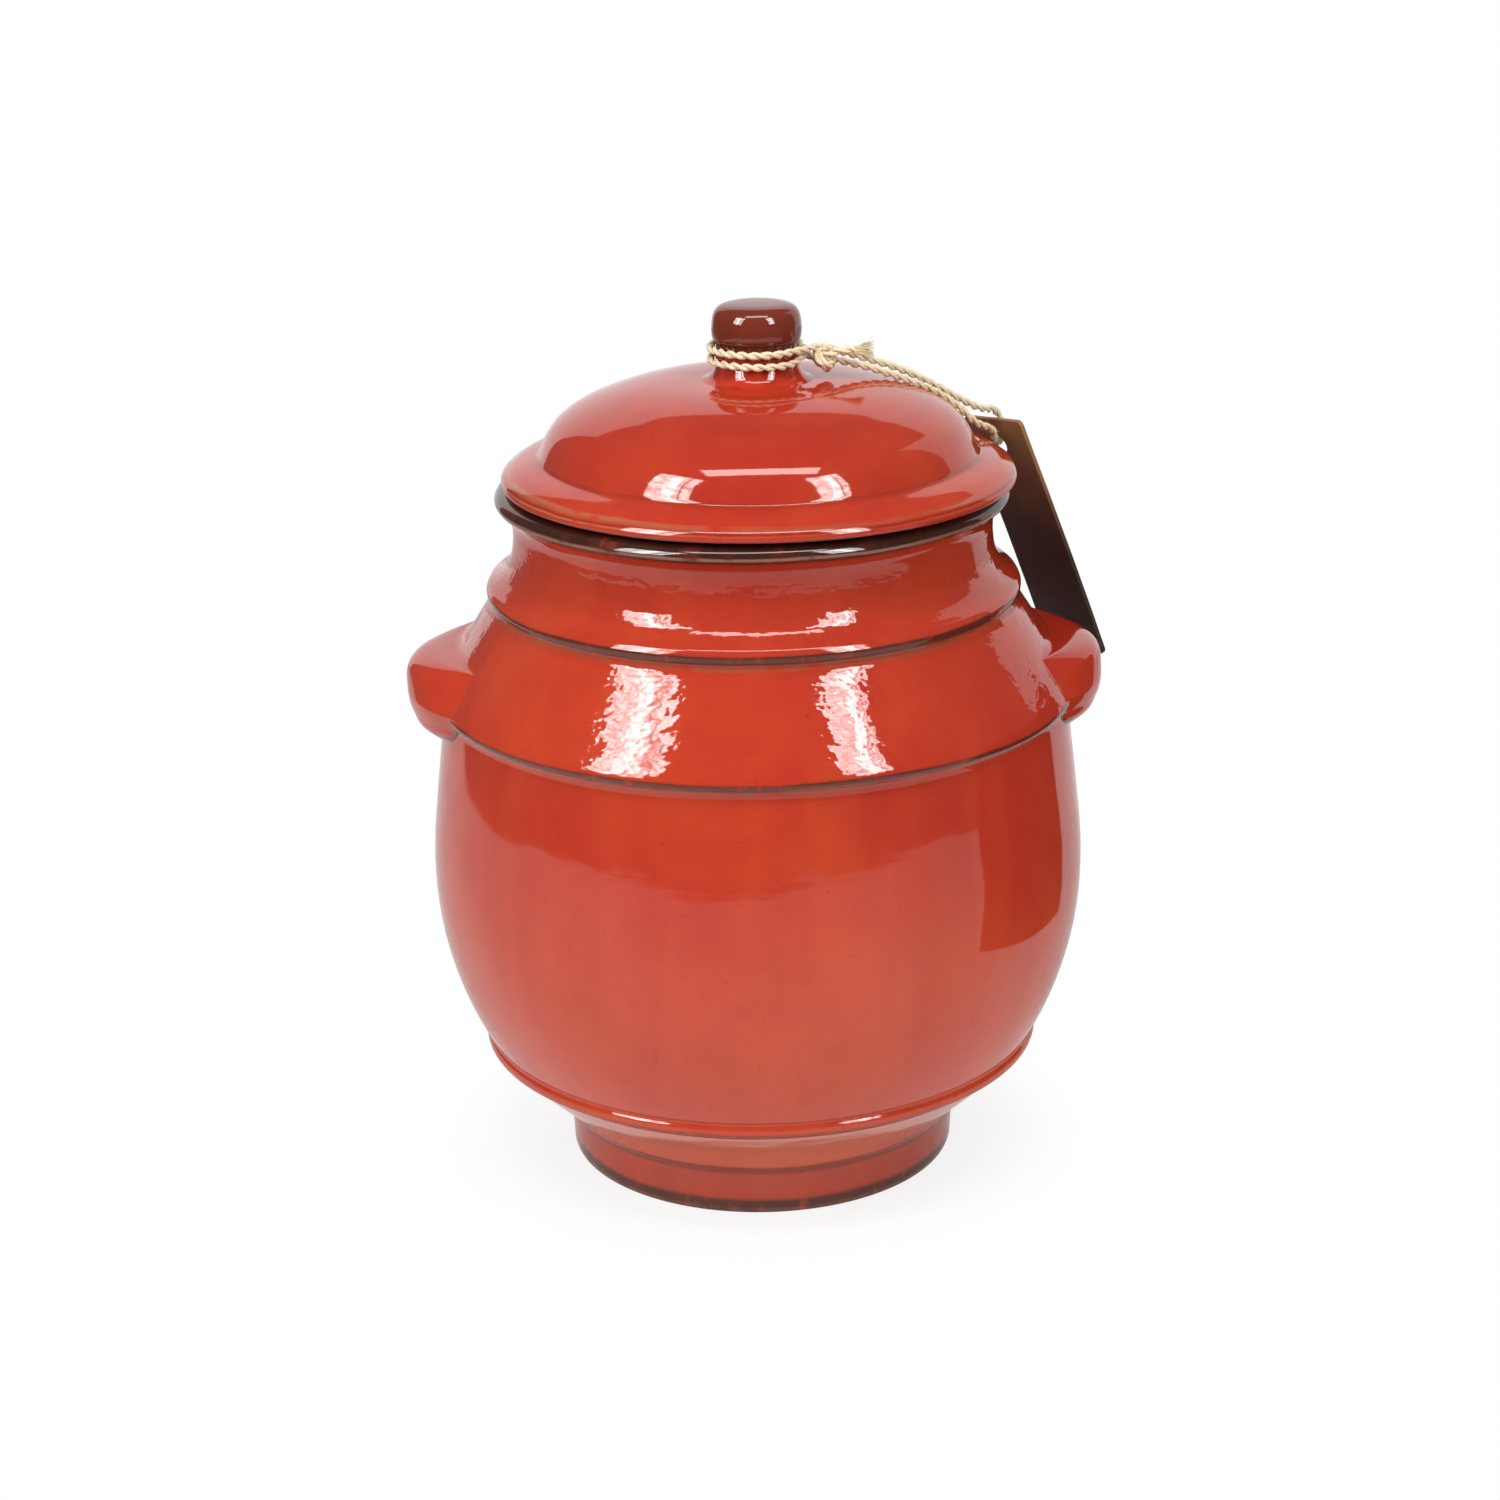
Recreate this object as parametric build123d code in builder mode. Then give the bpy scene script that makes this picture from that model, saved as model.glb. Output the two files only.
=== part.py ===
from build123d import *

import math
import os

os.makedirs("parts", exist_ok=True)

# A glazed earthenware jar for olives, with two ledge-shaped ears, a domed lid and a knob.
# A jute string is wound round the knob, knotted, and carries a hang tag beside the lid.
# Millimetres, +Z up. The origin is the middle of the base, on the table. The ears lie along X.

# Foot of the jar
foot_radius = 61.8
foot_flare = 1.0
foot_ring_width = 9.0
foot_groove_width = 16.0
foot_groove_depth = 3.0
foot_edge_round = 1.4
floor_thickness = 8.5

# Body of the jar, with each form's level as a share of the jar's height to its rim
jar_height = 219.8
foot_level_share = 0.0696
hip_level_share = 0.1829
belly_level_share = 0.4459
shoulder_level_share = 0.7029
collar_level_share = 0.8526
neck_level_share = 0.9395
wall = 6.5
belly_radius = 102.9
hip_inset = 14.0
hip_band = 2.6
shoulder_inset = 2.9
shoulder_step = 2.4
collar_inset = 17.1
collar_swell = 3.2
neck_inset = 8.8
rim_flare = 5.4
rim_band = 4.4
rim_edge_round = 1.4
neck_shares = ((0.58, 0.235), (0.29, 0.37), (0.13, 0.53), (0.01, 0.86))
mouth_flare = 5.5
ridge_step = 1.5
ridge_drop = 1.7
hip_step = 0.8

# Ears: pads of clay with an oval edge, as wide as the half angle and as high as the rise and the drop
ear_proud = 10.0
ear_above_shoulder = 1.4
ear_rise = 17.4
ear_drop = 13.9
ear_half_angle = 29.5
ear_sink = 0.6
ear_depth = 4.0
ear_full_share = 1.39
ear_oval_share = 2.76
ear_level_off_share = 4.0
ear_level_shares = (-1.0, -0.86, -0.66, -0.4, -0.1, 0.2, 0.45, 0.66, 0.84, 1.0)
ear_around_shares = (-0.98, -0.88, -0.7, -0.45, -0.2, 0.0, 0.2, 0.45, 0.7, 0.88, 0.98)

# Lid: it sits a little off the jar's axis and turned against the ears
lid_shift = 2.1
lid_turn = 4.3
seat_gap = 0.3
flange_inset = 0.2
flange_thickness = 5.4
flange_edge_round = 1.6
flange_rise = 2.6
flange_width = 10.5
dome_height = 26.1
lid_wall = 5.6
skirt_clearance = 0.4
skirt_depth = 10.5
skirt_thickness = 4.6
dome_radius_shares = (1.0, 0.905, 0.705, 0.44)
dome_level_shares = (0.0, 0.37, 0.725, 0.965)

# Knob
knob_neck_radius = 12.5
knob_seat_spread = 5.1
knob_bulb_proud = 1.3
knob_neck_below_string = 0.9
knob_bulb_height = 11.2
knob_top_round = 4.6
knob_under_share = 0.75
knob_flare_share = 1.06

# String wound twice round the knob's neck, its knot and its cut end
string_thickness = 2.6
string_gap = 0.4
turn_below_bulb = 1.1
turn_gap = 0.9
knot_radius = 4.2
knot_half_height = 5.2
knot_above_crown = 0.6
knot_forward = 0.8
knot_depth = 2.5
lead_in_rise = 2.5
lead_out_drop = 2.0
tail_length = 16.4
tail_level_shares = ((0.07, 0.38), (0.4, 0.62), (1.0, 0.24))
tail_forward = 2.6

# Hang tag and the loop of string that carries it
tag_width = 29.6
tag_length = 84.3
tag_thickness = 1.4
tag_corner = 1.8
tag_hole_radius = 3.0
tag_hole_from_top = 9.2
tag_stand = 7.0
tag_azimuth = 24.0
tag_drop = 3.0
tag_facing = 35.0
tag_lean = 19.2
tag_roll = 7.4
loop_turn = 2.8
loop_over_tag = 3.4
strand_spread = 1.6
# Stations of the loop: share of the way out from knot to dome foot, or on to the flange's edge,
# of the tag's azimuth, and of the dome's height above the flange
outgoing_dome_shares = ((0.21, 0.35, 1.1), (0.512, 0.54, 0.88), (0.769, 0.667, 0.67), (0.937, 0.68, 0.44))
outgoing_flange_shares = ((0.245, 0.696, 0.222), (0.985, 0.831, 0.107))
returning_flange_shares = ((0.743, 0.926, 0.39), (-0.065, 0.86, 0.57))
returning_dome_shares = ((0.772, 0.8, 0.82), (0.509, 0.69, 1.04), (0.214, 0.47, 1.22))
bend_share = 0.45
apart_thicknesses_share = 3.0
sample_count = 400

# Heights and radii that follow from the sizes above
foot_top_radius = foot_radius + foot_flare
hip_radius = belly_radius - hip_inset
shoulder_radius = belly_radius - shoulder_inset
collar_radius = shoulder_radius - collar_inset
neck_radius = collar_radius - neck_inset
rim_radius = neck_radius + rim_flare
foot_height = jar_height * foot_level_share
hip_height = jar_height * hip_level_share
belly_height = jar_height * belly_level_share
shoulder_height = jar_height * shoulder_level_share
collar_height = jar_height * collar_level_share
neck_height = jar_height * neck_level_share
rim_height = jar_height
ear_radius = shoulder_radius + ear_proud
ear_middle = shoulder_height + ear_above_shoulder
ear_top = ear_middle + ear_rise
floor_height = foot_groove_depth + floor_thickness
under_slope = (hip_radius - foot_top_radius) / (hip_height - foot_height)
inner_hip_height = hip_height + wall / 2
floor_radius = hip_radius - wall - (inner_hip_height - floor_height) * under_slope
collar_foot_radius = collar_radius - ridge_step
collar_foot_height = collar_height - ridge_drop
belly_top_radius = shoulder_radius - shoulder_step
belly_top_height = shoulder_height - ridge_drop
flange_radius = rim_radius - flange_inset
dome_radius = flange_radius - flange_width
skirt_radius = neck_radius - wall - lid_shift - skirt_clearance
flange_bottom = rim_height + seat_gap
flange_top = flange_bottom + flange_thickness
dome_foot = flange_top + flange_rise
crown = flange_top + dome_height
knob_seat_radius = knob_neck_radius + knob_seat_spread
knob_bulb_radius = knob_neck_radius + knob_bulb_proud
knob_flare = knob_seat_spread * knob_flare_share
turn_under = string_thickness / 2 + turn_below_bulb
turn_pitch = string_thickness + turn_gap
lower_turn = crown + knob_flare + knob_neck_below_string
upper_turn = lower_turn + turn_pitch
neck_top = upper_turn + turn_under
section = Plane.XZ


def on_lid(out, aside, height):
    """A place given from the lid's axis, turned with the lid."""
    return Vector(lid_shift + out, aside, height).rotate(Axis.Z, lid_turn)


lid_place = on_lid(0, 0, 0)
lid_section = Plane(lid_place, x_dir=(1, 0, 0), z_dir=(0, -1, 0))
lid_axis = Axis(lid_place, (0, 0, 1))


neck_points = [
    (neck_radius + (collar_radius - neck_radius) * out, collar_height + (neck_height - collar_height) * up)
    for out, up in neck_shares
]


def dome_points(inset):
    """The outside of the dome, or the inside at a wall's distance, from its foot to near the crown."""
    return [
        ((dome_radius - inset) * reach, dome_foot + (crown - inset - dome_foot) * level)
        for reach, level in zip(dome_radius_shares, dome_level_shares)
    ]


def shoulder_reach(height):
    """Radius of the jar's wall behind the ears."""
    if height < shoulder_height:
        return belly_top_radius
    share = (height - shoulder_height) / (collar_foot_height - shoulder_height)
    return shoulder_radius + (collar_foot_radius - shoulder_radius) * share


# Outer shape of the jar, filled
with BuildPart() as jar_shape:
    with BuildSketch(section):
        with BuildLine():
            foot_line = Polyline((0, 0), (foot_radius, 0), (foot_top_radius, foot_height))
            under = Line(foot_line @ 1, (hip_radius - hip_band / 2, hip_height - hip_band / 2))
            lip = ThreePointArc(
                under @ 1,
                (hip_radius, hip_height),
                (hip_radius - hip_step / 4, hip_height + hip_band / 2),
            )
            step = Line(lip @ 1, (hip_radius - hip_step, hip_height + hip_band))
            widest = (belly_radius, belly_height)
            lower = TangentArc(widest, step @ 1, tangent=(0, -1), tangent_from_first=True)
            upper = TangentArc(widest, (belly_top_radius, belly_top_height), tangent=(0, 1))
            shoulder_lip = Spline(
                upper @ 1,
                (shoulder_radius, shoulder_height),
                (shoulder_radius - ridge_step / 2, shoulder_height + ridge_drop),
                tangents=[(ridge_step, ridge_drop / 2), (-ridge_step / 2, ridge_drop)],
            )
            cone = Line(shoulder_lip @ 1, (collar_foot_radius, collar_foot_height))
            collar_lip = Spline(
                cone @ 1,
                (collar_radius, collar_height),
                (collar_radius, collar_height + collar_swell / 2),
                tangents=[(ridge_step, ridge_drop / 2), (-collar_swell / 4, collar_swell)],
            )
            neck = Spline(
                collar_lip @ 1,
                *neck_points,
                (rim_radius, rim_height - rim_band),
                tangents=[(-collar_swell / 4, collar_swell), (rim_radius - neck_radius, rim_band)],
            )
            Polyline(neck @ 1, (rim_radius, rim_height), (0, rim_height), (0, 0))
        make_face()
    revolve(axis=Axis.Z)

# Jar body, hollow, with a shallow groove turned in its flat base
with BuildPart() as jar_body:
    add(jar_shape.part)
    with BuildSketch(section):
        with BuildLine():
            bottom = Line((0, floor_height), (floor_radius, floor_height))
            under_inside = Line(bottom @ 1, (hip_radius - wall, inner_hip_height))
            widest_inside = (belly_radius - wall, belly_height)
            lower_inside = TangentArc(
                widest_inside, under_inside @ 1, tangent=(0, -1), tangent_from_first=True
            )
            top_inside = (belly_top_radius - wall, belly_top_height)
            upper_inside = TangentArc(widest_inside, top_inside, tangent=(0, 1))
            cone_inside = Line(upper_inside @ 1, (collar_foot_radius - wall, collar_foot_height))
            shoulder_inside = Spline(
                cone_inside @ 1,
                (neck_radius - wall, neck_height),
                (neck_radius - wall + mouth_flare, rim_height),
                tangents=[cone_inside % 1, (mouth_flare, rim_height - neck_height)],
            )
            Polyline(shoulder_inside @ 1, (0, rim_height), (0, floor_height))
        make_face()
    revolve(axis=Axis.Z, mode=Mode.SUBTRACT)
    base_edge = jar_body.edges().filter_by(GeomType.CIRCLE).group_by(Axis.Z)[0]
    fillet(base_edge, foot_edge_round)
    with BuildSketch(Plane.XY):
        Circle(foot_radius - foot_ring_width)
        Circle(foot_radius - foot_ring_width - foot_groove_width, mode=Mode.SUBTRACT)
    extrude(amount=foot_groove_depth, mode=Mode.SUBTRACT)
    rim_edges = jar_body.edges().filter_by(GeomType.CIRCLE).group_by(Axis.Z)[-1]
    fillet(rim_edges, rim_edge_round)
jar_body.part.label = "jar_body"
export_step(jar_body.part, "parts/jar_body.step")

# Ears: each stands out fully over the middle of its face and falls away to the wall at its oval edge
ear_back = shoulder_reach(ear_top) - ear_depth


def ear_oval(share):
    """The share of the ear's height that is left so far round from its middle, or the other way about."""
    return (1 - abs(share) ** ear_oval_share) ** (1 / ear_oval_share)


def ear_front(around, height):
    """Radius of the ear's face at a share of its half angle and at a height."""
    level = (height - ear_middle) / (ear_rise if height > ear_middle else ear_drop)
    out = (abs(around) ** ear_oval_share + abs(level) ** ear_oval_share) ** (1 / ear_oval_share)
    fullness = ear_full_share * max(1 - out, 0)
    fullness = fullness / (1 + fullness**ear_level_off_share) ** (1 / ear_level_off_share)
    wall_there = shoulder_reach(height)
    return wall_there - ear_sink + (ear_radius - wall_there) * fullness


with BuildPart() as right_ear:
    for around in ear_around_shares:
        angle = math.radians(ear_half_angle * around)
        spots = []
        for level in ear_level_shares:
            height = ear_middle + (ear_rise if level > 0 else ear_drop) * level * ear_oval(around)
            spots.append((ear_front(around, height), height))
        away = Vector(math.cos(angle), math.sin(angle), 0)
        with BuildSketch(Plane((0, 0, 0), x_dir=away, z_dir=away.cross(Vector(0, 0, 1)))):
            with BuildLine():
                front = Spline(*spots)
                Polyline(front @ 1, (ear_back, spots[-1][1]), (ear_back, spots[0][1]), front @ 0)
            make_face()
    loft()
    add(jar_shape.part, mode=Mode.SUBTRACT)
right_ear.part.label = "right_ear"
export_step(right_ear.part, "parts/right_ear.step")

with BuildPart() as left_ear:
    mirror(right_ear.part, about=Plane.YZ)
left_ear.part.label = "left_ear"
export_step(left_ear.part, "parts/left_ear.step")

# Lid: flange, dome and the skirt that finds the mouth
with BuildPart() as lid:
    with BuildSketch(lid_section):
        with BuildLine():
            inside = dome_points(lid_wall)
            outside = dome_points(0)
            rest = Polyline(
                (skirt_radius - skirt_thickness, flange_bottom - skirt_depth),
                (skirt_radius, flange_bottom - skirt_depth),
                (skirt_radius, flange_bottom),
                (flange_radius, flange_bottom),
                (flange_radius, flange_top - flange_edge_round / 4),
            )
            sweep_up = ThreePointArc(
                rest @ 1,
                ((flange_radius + dome_radius) / 2, flange_top + flange_rise / 4),
                outside[0],
            )
            dome_line = Spline(*outside, (knob_seat_radius, crown), tangents=[(-1, 2), (-1, 0)])
            crown_line = Polyline(dome_line @ 1, (0, crown), (0, crown - lid_wall))
            inner_dome = Spline(
                (0, crown - lid_wall),
                *reversed(inside),
                tangents=[(1, 0), (1, -2)],
            )
            Polyline(
                inner_dome @ 1,
                (skirt_radius - skirt_thickness, flange_bottom),
                (skirt_radius - skirt_thickness, flange_bottom - skirt_depth),
            )
        make_face()
    revolve(axis=lid_axis)
    flange_edges = lid.edges().filter_by(GeomType.CIRCLE).group_by(SortBy.RADIUS)[-1]
    fillet(flange_edges, flange_edge_round)
lid.part.label = "lid"
export_step(lid.part, "parts/lid.step")

# Knob, luted to the crown of the lid
with BuildPart() as lid_knob:
    with BuildSketch(lid_section):
        with BuildLine():
            seat = Line((0, crown), (knob_seat_radius, crown))
            flare = TangentArc((knob_neck_radius, crown + knob_flare), seat @ 1, tangent=(0, -1))
            Polyline(
                flare @ 0,
                (knob_neck_radius, neck_top),
                (knob_bulb_radius, neck_top),
                (knob_bulb_radius, neck_top + knob_bulb_height),
                (0, neck_top + knob_bulb_height),
                (0, crown),
            )
        make_face()
    revolve(axis=lid_axis)
    bulb_edges = lid_knob.edges().filter_by(GeomType.CIRCLE).group_by(Axis.Z)
    fillet(bulb_edges[-1], knob_top_round)
    under_edges = lid_knob.edges().filter_by(GeomType.CIRCLE).filter_by_position(Axis.Z, neck_top, neck_top)
    fillet(under_edges.sort_by(SortBy.RADIUS)[-1], knob_bulb_proud * knob_under_share)
lid_knob.part.label = "lid_knob"
export_step(lid_knob.part, "parts/lid_knob.step")

# String: winding on two levels round the neck, in quarter turns of two arcs each
turn_radius = knob_neck_radius + string_gap + string_thickness / 2
quarter = math.pi / 2
knot_out = turn_radius * math.sqrt(2)
knot_centre = on_lid(knot_out, 0, upper_turn)
knot_low = upper_turn - crown - knot_above_crown - knot_half_height


def station(turns, height):
    """A place on the winding and its direction, after so many quarter turns from the front right."""
    angle = -quarter / 2 - quarter * turns
    place = on_lid(turn_radius * math.cos(angle), turn_radius * math.sin(angle), height)
    return place, Vector(math.sin(angle), -math.cos(angle), 0).rotate(Axis.Z, lid_turn)


def two_arcs(start, start_way, end, end_way):
    """Two arcs that leave one place and reach another in the given directions."""
    across = end - start
    both = start_way + end_way
    spread = 2 - 2 * start_way.dot(end_way)
    along = across.dot(both)
    reach = (math.sqrt(along**2 + spread * across.dot(across)) - along) / spread
    middle = (start + end + (start_way - end_way) * reach) * 0.5
    first = TangentArc(start, middle, tangent=start_way)
    second = TangentArc(middle, end, tangent=first % 1)
    return first, second


def string_along(route):
    """Sweep the string's round section along a route."""
    with BuildSketch(Plane(route @ 0, z_dir=route % 0)) as section_end:
        Circle(string_thickness / 2)
    sweep(section_end.sketch, path=route)


def least_gap(route):
    """The least gap between stretches of one string that lie some thicknesses apart along it."""
    spots = [route @ (step / sample_count) for step in range(sample_count + 1)]
    skip = int(apart_thicknesses_share * string_thickness / route.length * sample_count) + 1
    nearest = min((here - there).length for at, here in enumerate(spots) for there in spots[at + skip :])
    return nearest - string_thickness


levels = [upper_turn] * 4 + [lower_turn] * 4
first_place, first_way = station(0, upper_turn)
last_place, last_way = station(len(levels) - 1, lower_turn)
lead_in_root = knot_centre - Vector(0, 0, knot_low - turn_under / 2 - lead_in_rise)
lead_out_root = knot_centre - Vector(0, 0, knot_low - turn_under / 2 + lead_out_drop)
lead_in_way = (first_place - lead_in_root).normalized()
lead_out_way = (last_place - lead_out_root).normalized()
with BuildPart() as twine_winding:
    with BuildLine() as winding_line:
        lead_in_start = lead_in_root + lead_in_way * knot_depth
        lead_in = Line(lead_in_start, lead_in_start + lead_in_way * string_thickness)
        here, way = lead_in @ 1, lead_in_way
        for turns, level in enumerate(levels):
            there, next_way = station(turns, level)
            two_arcs(here, way, there, next_way)
            here, way = there, next_way
        lead_out_start = lead_out_root + lead_out_way * (knot_depth + string_thickness)
        two_arcs(here, way, lead_out_start, -lead_out_way)
        Line(lead_out_start, lead_out_root + lead_out_way * knot_depth)
    winding_route = winding_line.wires()[0]
    string_along(winding_route)
twine_winding.part.label = "twine_winding"
print("winding least gap", round(least_gap(winding_route), 2), "length", round(winding_route.length, 1))

# Tag: a strip of card hung by a hole near its top, leaning outward from the lid
tag_reach = flange_radius + tag_stand
tag_turn = math.radians(tag_azimuth)
pivot = on_lid(tag_reach * math.cos(tag_turn), tag_reach * math.sin(tag_turn), flange_top - tag_drop)
outward = Vector(1, 0, 0).rotate(Axis.Y, -tag_lean).rotate(Axis.Z, tag_facing + lid_turn)
level_across = Vector(0, -1, 0).rotate(Axis.Z, tag_facing + lid_turn)
across_tag = level_across.rotate(Axis((0, 0, 0), outward), -tag_roll)
down_tag = outward.cross(across_tag)
hole_below = tag_hole_radius - string_thickness / 2 - string_gap
tag_top = tag_hole_from_top - hole_below
with BuildPart() as hang_tag:
    with BuildSketch(Plane(pivot, x_dir=across_tag, z_dir=outward)) as tag_face:
        with Locations((0, tag_length / 2 - tag_top)):
            Rectangle(tag_width, tag_length)
        fillet(tag_face.vertices(), tag_corner)
        with Locations((0, hole_below)):
            Circle(tag_hole_radius, mode=Mode.SUBTRACT)
    extrude(amount=tag_thickness / 2, both=True)
hang_tag.part.label = "hang_tag"
export_step(hang_tag.part, "parts/hang_tag.step")


def over_lid(inner, outer, rows):
    """Places over the lid, by shares of the way between two distances, of the tag's turn and of height."""
    places = []
    for out, aside, up in rows:
        reach = inner + (outer - inner) * out
        turn = tag_turn * aside
        height = flange_top + dome_height * up
        places.append(on_lid(reach * math.cos(turn), reach * math.sin(turn), height))
    return places


def bend_radii(places):
    """Bend radii of a string laid through places, from the runs beside each and the turn between them."""
    radii = []
    for before, at, after in zip(places, places[1:], places[2:]):
        turn = math.radians((at - before).get_angle(after - at))
        shorter = min((at - before).length, (after - at).length)
        radii.append(bend_share * shorter / math.tan(turn / 2))
    return radii


# Loop: from the knot over the dome, through the tag, round its top edge and back
knot_reach = knot_out + knot_depth
knot_side = on_lid(knot_reach, 0, upper_turn - knot_low + turn_under / 2)
loop_places = [
    knot_side - Vector(0, 0, strand_spread),
    *over_lid(knot_reach, dome_radius, outgoing_dome_shares),
    *over_lid(dome_radius, flange_radius, outgoing_flange_shares),
    pivot - outward * loop_turn,
    pivot + outward * loop_turn,
    pivot + outward * loop_turn - down_tag * (tag_top + loop_over_tag),
    *over_lid(dome_radius, flange_radius, returning_flange_shares),
    *over_lid(knot_reach, dome_radius, returning_dome_shares),
    knot_side + Vector(0, 0, strand_spread),
]
loop_radii = bend_radii(loop_places)
with BuildPart() as tag_loop:
    with BuildLine() as loop_line:
        FilletPolyline(*loop_places, radius=loop_radii)
    loop_route = loop_line.wires()[0]
    string_along(loop_route)
tag_loop.part.label = "tag_loop"
export_step(tag_loop.part, "parts/tag_loop.step")
print("loop bend radii", [round(radius, 1) for radius in loop_radii])
print("loop least gap", round(least_gap(loop_route), 2), "length", round(loop_route.length, 1))
section_area = math.pi * string_thickness**2 / 4
for tube, route in ((twine_winding, winding_route), (tag_loop, loop_route)):
    print(tube.part.label, "volume share", round(tube.part.volume / (section_area * route.length), 3))
export_step(twine_winding.part, "parts/twine_winding.step")

# Knot: a lump with the cut end of the string, round the four ends that come into it
lump = on_lid(knot_out, -knot_forward, upper_turn - knot_low)
knot_straight = knot_half_height - knot_radius
tail_root = knot_out + knot_radius / 2
tail_aside = knot_forward + tail_forward
tail_places = [
    on_lid(tail_root + tail_length * out, -tail_aside, lump.Z + knot_half_height * up)
    for out, up in tail_level_shares
]
with BuildPart() as twine_knot:
    with BuildSketch(Plane(lump, x_dir=(1, 0, 0), z_dir=(0, -1, 0))):
        with BuildLine():
            side = Line((knot_radius, -knot_straight), (knot_radius, knot_straight))
            top = TangentArc(side @ 1, (0, knot_half_height), tangent=(0, 1))
            base = TangentArc(side @ 0, (0, -knot_half_height), tangent=(0, -1))
            Line(base @ 1, top @ 1)
        make_face()
    revolve(axis=Axis(lump, (0, 0, 1)))
    with BuildLine() as tail_line:
        FilletPolyline(*tail_places, radius=bend_radii(tail_places))
    string_along(tail_line.wires()[0])
    add(twine_winding.part, mode=Mode.SUBTRACT)
    add(tag_loop.part, mode=Mode.SUBTRACT)
twine_knot.part.label = "twine_knot"
export_step(twine_knot.part, "parts/twine_knot.step")
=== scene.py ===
import math
import random

import bmesh
import bpy
from mathutils import Matrix, Quaternion, Vector, noise


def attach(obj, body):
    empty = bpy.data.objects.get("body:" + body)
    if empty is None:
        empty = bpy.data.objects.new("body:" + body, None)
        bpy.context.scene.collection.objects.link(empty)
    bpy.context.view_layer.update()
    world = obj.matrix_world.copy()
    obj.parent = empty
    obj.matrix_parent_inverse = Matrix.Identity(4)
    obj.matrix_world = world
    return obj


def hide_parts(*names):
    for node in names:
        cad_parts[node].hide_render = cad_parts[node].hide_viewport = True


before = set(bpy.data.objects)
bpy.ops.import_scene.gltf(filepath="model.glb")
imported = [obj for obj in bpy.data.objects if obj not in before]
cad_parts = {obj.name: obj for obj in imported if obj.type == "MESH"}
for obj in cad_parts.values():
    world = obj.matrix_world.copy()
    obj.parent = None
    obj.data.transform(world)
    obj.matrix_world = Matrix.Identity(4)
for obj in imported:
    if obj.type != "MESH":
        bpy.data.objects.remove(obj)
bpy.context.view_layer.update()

MM = 0.001
AXIS_X = 2.1  # the lid sits a little off the jar's axis
# The lid is turned against the ears, and the photograph looks square at the lid
LID_TURN = Matrix.Rotation(math.radians(4.3), 4, "Z")


# Camera, at the photograph's place: a metre away and higher than the knob, looking down
def aim_camera(distance, elevation, roll, pan, tilt, lens, height):
    elevation, roll, pan, tilt = (math.radians(a) for a in (elevation, roll, pan, tilt))
    back = Vector((0, -math.cos(elevation), math.sin(elevation)))
    up = Vector((0, math.sin(elevation), math.cos(elevation)))
    side = Vector((1, 0, 0)) * math.cos(pan) + back * math.sin(pan)
    ahead = Vector((1, 0, 0)) * math.sin(pan) - back * math.cos(pan)
    lift = up * math.cos(tilt) - ahead * math.sin(tilt)
    ahead = up * math.sin(tilt) + ahead * math.cos(tilt)
    right = side * math.cos(roll) - lift * math.sin(roll)
    top = side * math.sin(roll) + lift * math.cos(roll)
    data = bpy.data.cameras.new("camera")
    data.sensor_width = 36
    data.lens = lens
    data.clip_start = 0.05
    data.clip_end = 50
    camera = bpy.data.objects.new("camera", data)
    bpy.context.scene.collection.objects.link(camera)
    turn = Matrix((right, top, -ahead)).transposed().to_4x4()
    camera.matrix_world = LID_TURN @ Matrix.Translation(back * distance + Vector((0, 0, height))) @ turn
    bpy.context.scene.camera = camera


aim_camera(distance=1.0, elevation=17.817, roll=0.938, pan=-0.116, tilt=-1.227, lens=76.32, height=0.1545)


# Shader maths as expressions
class Level:
    """A number that varies over a surface. Arithmetic on it adds Math nodes."""

    def __init__(self, finish, socket):
        self.finish, self.socket = finish, socket

    def math(self, operation, *others, first=None):
        values = (self, *others) if first is None else (first, self)
        made = self.finish.node("ShaderNodeMath", {"operation": operation}, dict(enumerate(values)))
        return Level(self.finish, made.outputs[0])

    def __add__(self, other):
        return self.math("ADD", other)

    def __radd__(self, other):
        return self.math("ADD", other)

    def __sub__(self, other):
        return self.math("SUBTRACT", other)

    def __rsub__(self, other):
        return self.math("SUBTRACT", first=other)

    def __mul__(self, other):
        return self.math("MULTIPLY", other)

    def __rmul__(self, other):
        return self.math("MULTIPLY", other)

    def __truediv__(self, other):
        return self.math("DIVIDE", other)

    def __pow__(self, other):
        return self.math("POWER", other)

    def size(self):
        return self.math("ABSOLUTE")

    def most(self, other):
        return self.math("MAXIMUM", other)

    def rise(self, low, high):
        """0 below low, 1 above high, smooth between; falls instead where low is above high."""
        made = self.finish.node(
            "ShaderNodeMapRange",
            {"interpolation_type": "SMOOTHSTEP"},
            {"Value": self, "From Min": low, "From Max": high, "To Min": 0.0, "To Max": 1.0},
        )
        return Level(self.finish, made.outputs["Result"])

    def band(self, centre, half, soft):
        """1 within half of the centre, fading out over the soft width."""
        return (self - centre).size().rise(half + soft, half)


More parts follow.
